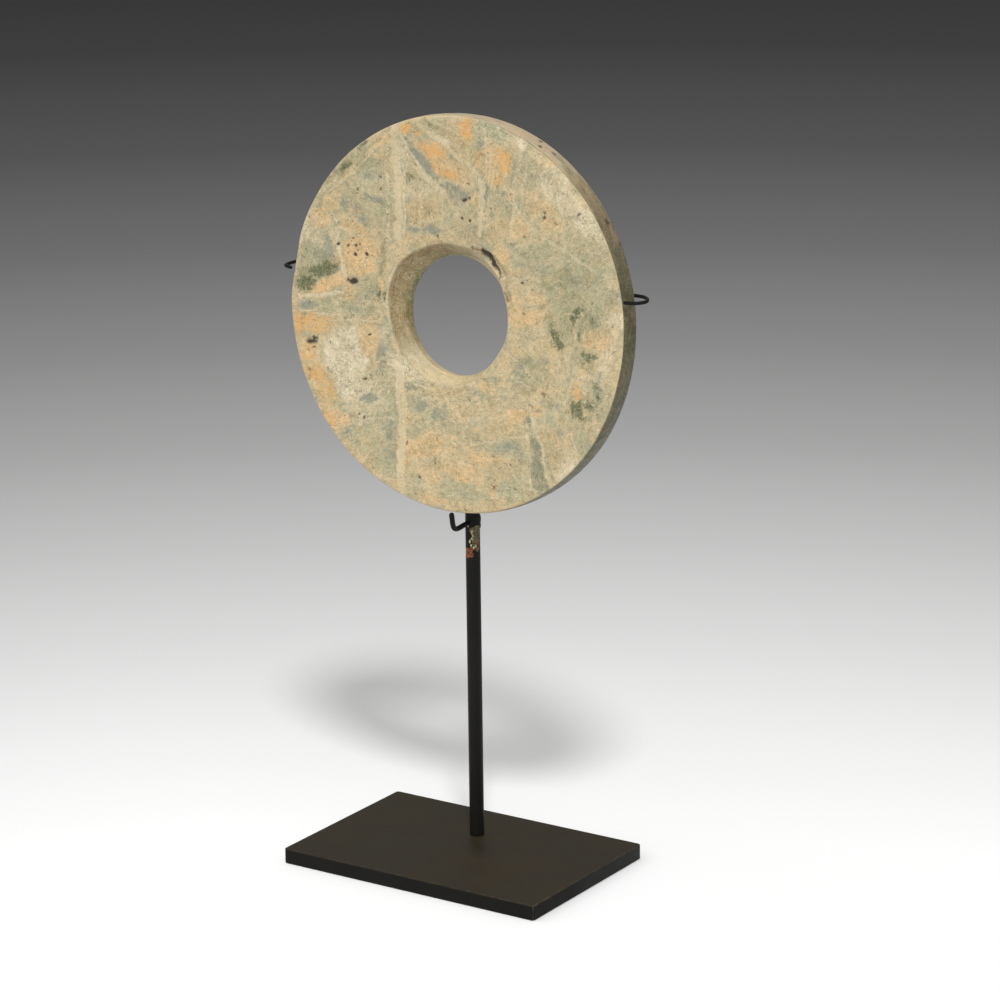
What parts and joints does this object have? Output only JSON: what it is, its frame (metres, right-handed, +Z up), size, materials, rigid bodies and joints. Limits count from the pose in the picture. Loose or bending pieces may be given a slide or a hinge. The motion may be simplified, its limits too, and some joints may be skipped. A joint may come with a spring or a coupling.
{
  "type": "jade bi disc",
  "caption": "Flat ring of mottled jade with a wide drilled hole, held upright on a slim dark post by a hook below and wire clips at its rim, on a flat plate.",
  "frame": {"origin": "middle of the base plate's underside", "axes": "+Z up along the post, -Y the way the disc's shown face looks, +X along the plate's long side to the right of that face"},
  "size_m": [0.194, 0.092, 0.3475],
  "materials": {
    "jade": "worn low polish, mottled cream, tan, peach and green with dark pits",
    "black_paint": "satin brown-black paint on steel, worn at the edges",
    "braze": "rough braze under thin paint, with bare greenish grey and rusty patches"
  },
  "bodies": {
    "root": {"disc": "jade", "base_plate": "black_paint", "post": "black_paint", "bottom_hook": "black_paint", "left_arm": "black_paint", "right_arm": "black_paint", "braze_collar": "braze"}
  },
  "joints": []
}
